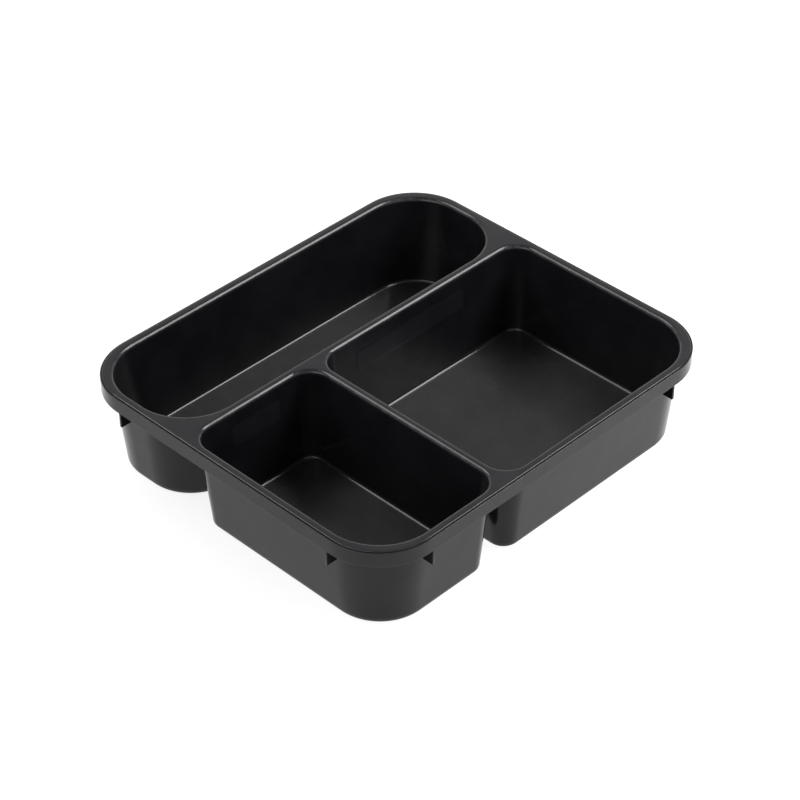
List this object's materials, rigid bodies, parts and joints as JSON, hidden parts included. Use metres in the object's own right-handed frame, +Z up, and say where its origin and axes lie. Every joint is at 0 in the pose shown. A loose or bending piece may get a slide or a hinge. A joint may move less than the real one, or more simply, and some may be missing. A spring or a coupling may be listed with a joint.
{
  "type": "compartment tray",
  "caption": "Black moulded insert tray with one long bin and two front bins under a flat rim, rounded corners, drafted walls and small stacking ribs.",
  "frame": {"origin": "centre of the tray's bounding box in plan, on the plane that the three bin floors stand on", "axes": "+X along the long bin and the rim's longest side, +Y from the two front bins to the long bin, +Z up"},
  "size_m": [0.37, 0.329, 0.0815],
  "materials": {
    "rim_plastic": "satin black polypropylene with softly rounded, slightly worn edges",
    "wall_plastic": "smooth glossy black polypropylene",
    "floor_plastic": "fine-grained black polypropylene with a soft sheen"
  },
  "bodies": {
    "root": {"rim_deck": "rim_plastic", "rim_skirt": "rim_plastic", "long_bin_walls": "wall_plastic", "long_bin_floor": "floor_plastic", "large_bin_walls": "wall_plastic", "large_bin_floor": "floor_plastic", "small_bin_walls": "wall_plastic", "small_bin_floor": "floor_plastic", "large_bin_label_pad": "wall_plastic", "small_bin_label_pad": "wall_plastic", "stacking_rib_1": "rim_plastic", "stacking_rib_2": "rim_plastic", "stacking_rib_3": "rim_plastic", "stacking_rib_4": "rim_plastic", "stacking_rib_5": "rim_plastic", "stacking_rib_6": "rim_plastic", "stacking_rib_7": "rim_plastic", "stacking_rib_8": "rim_plastic"}
  },
  "joints": []
}
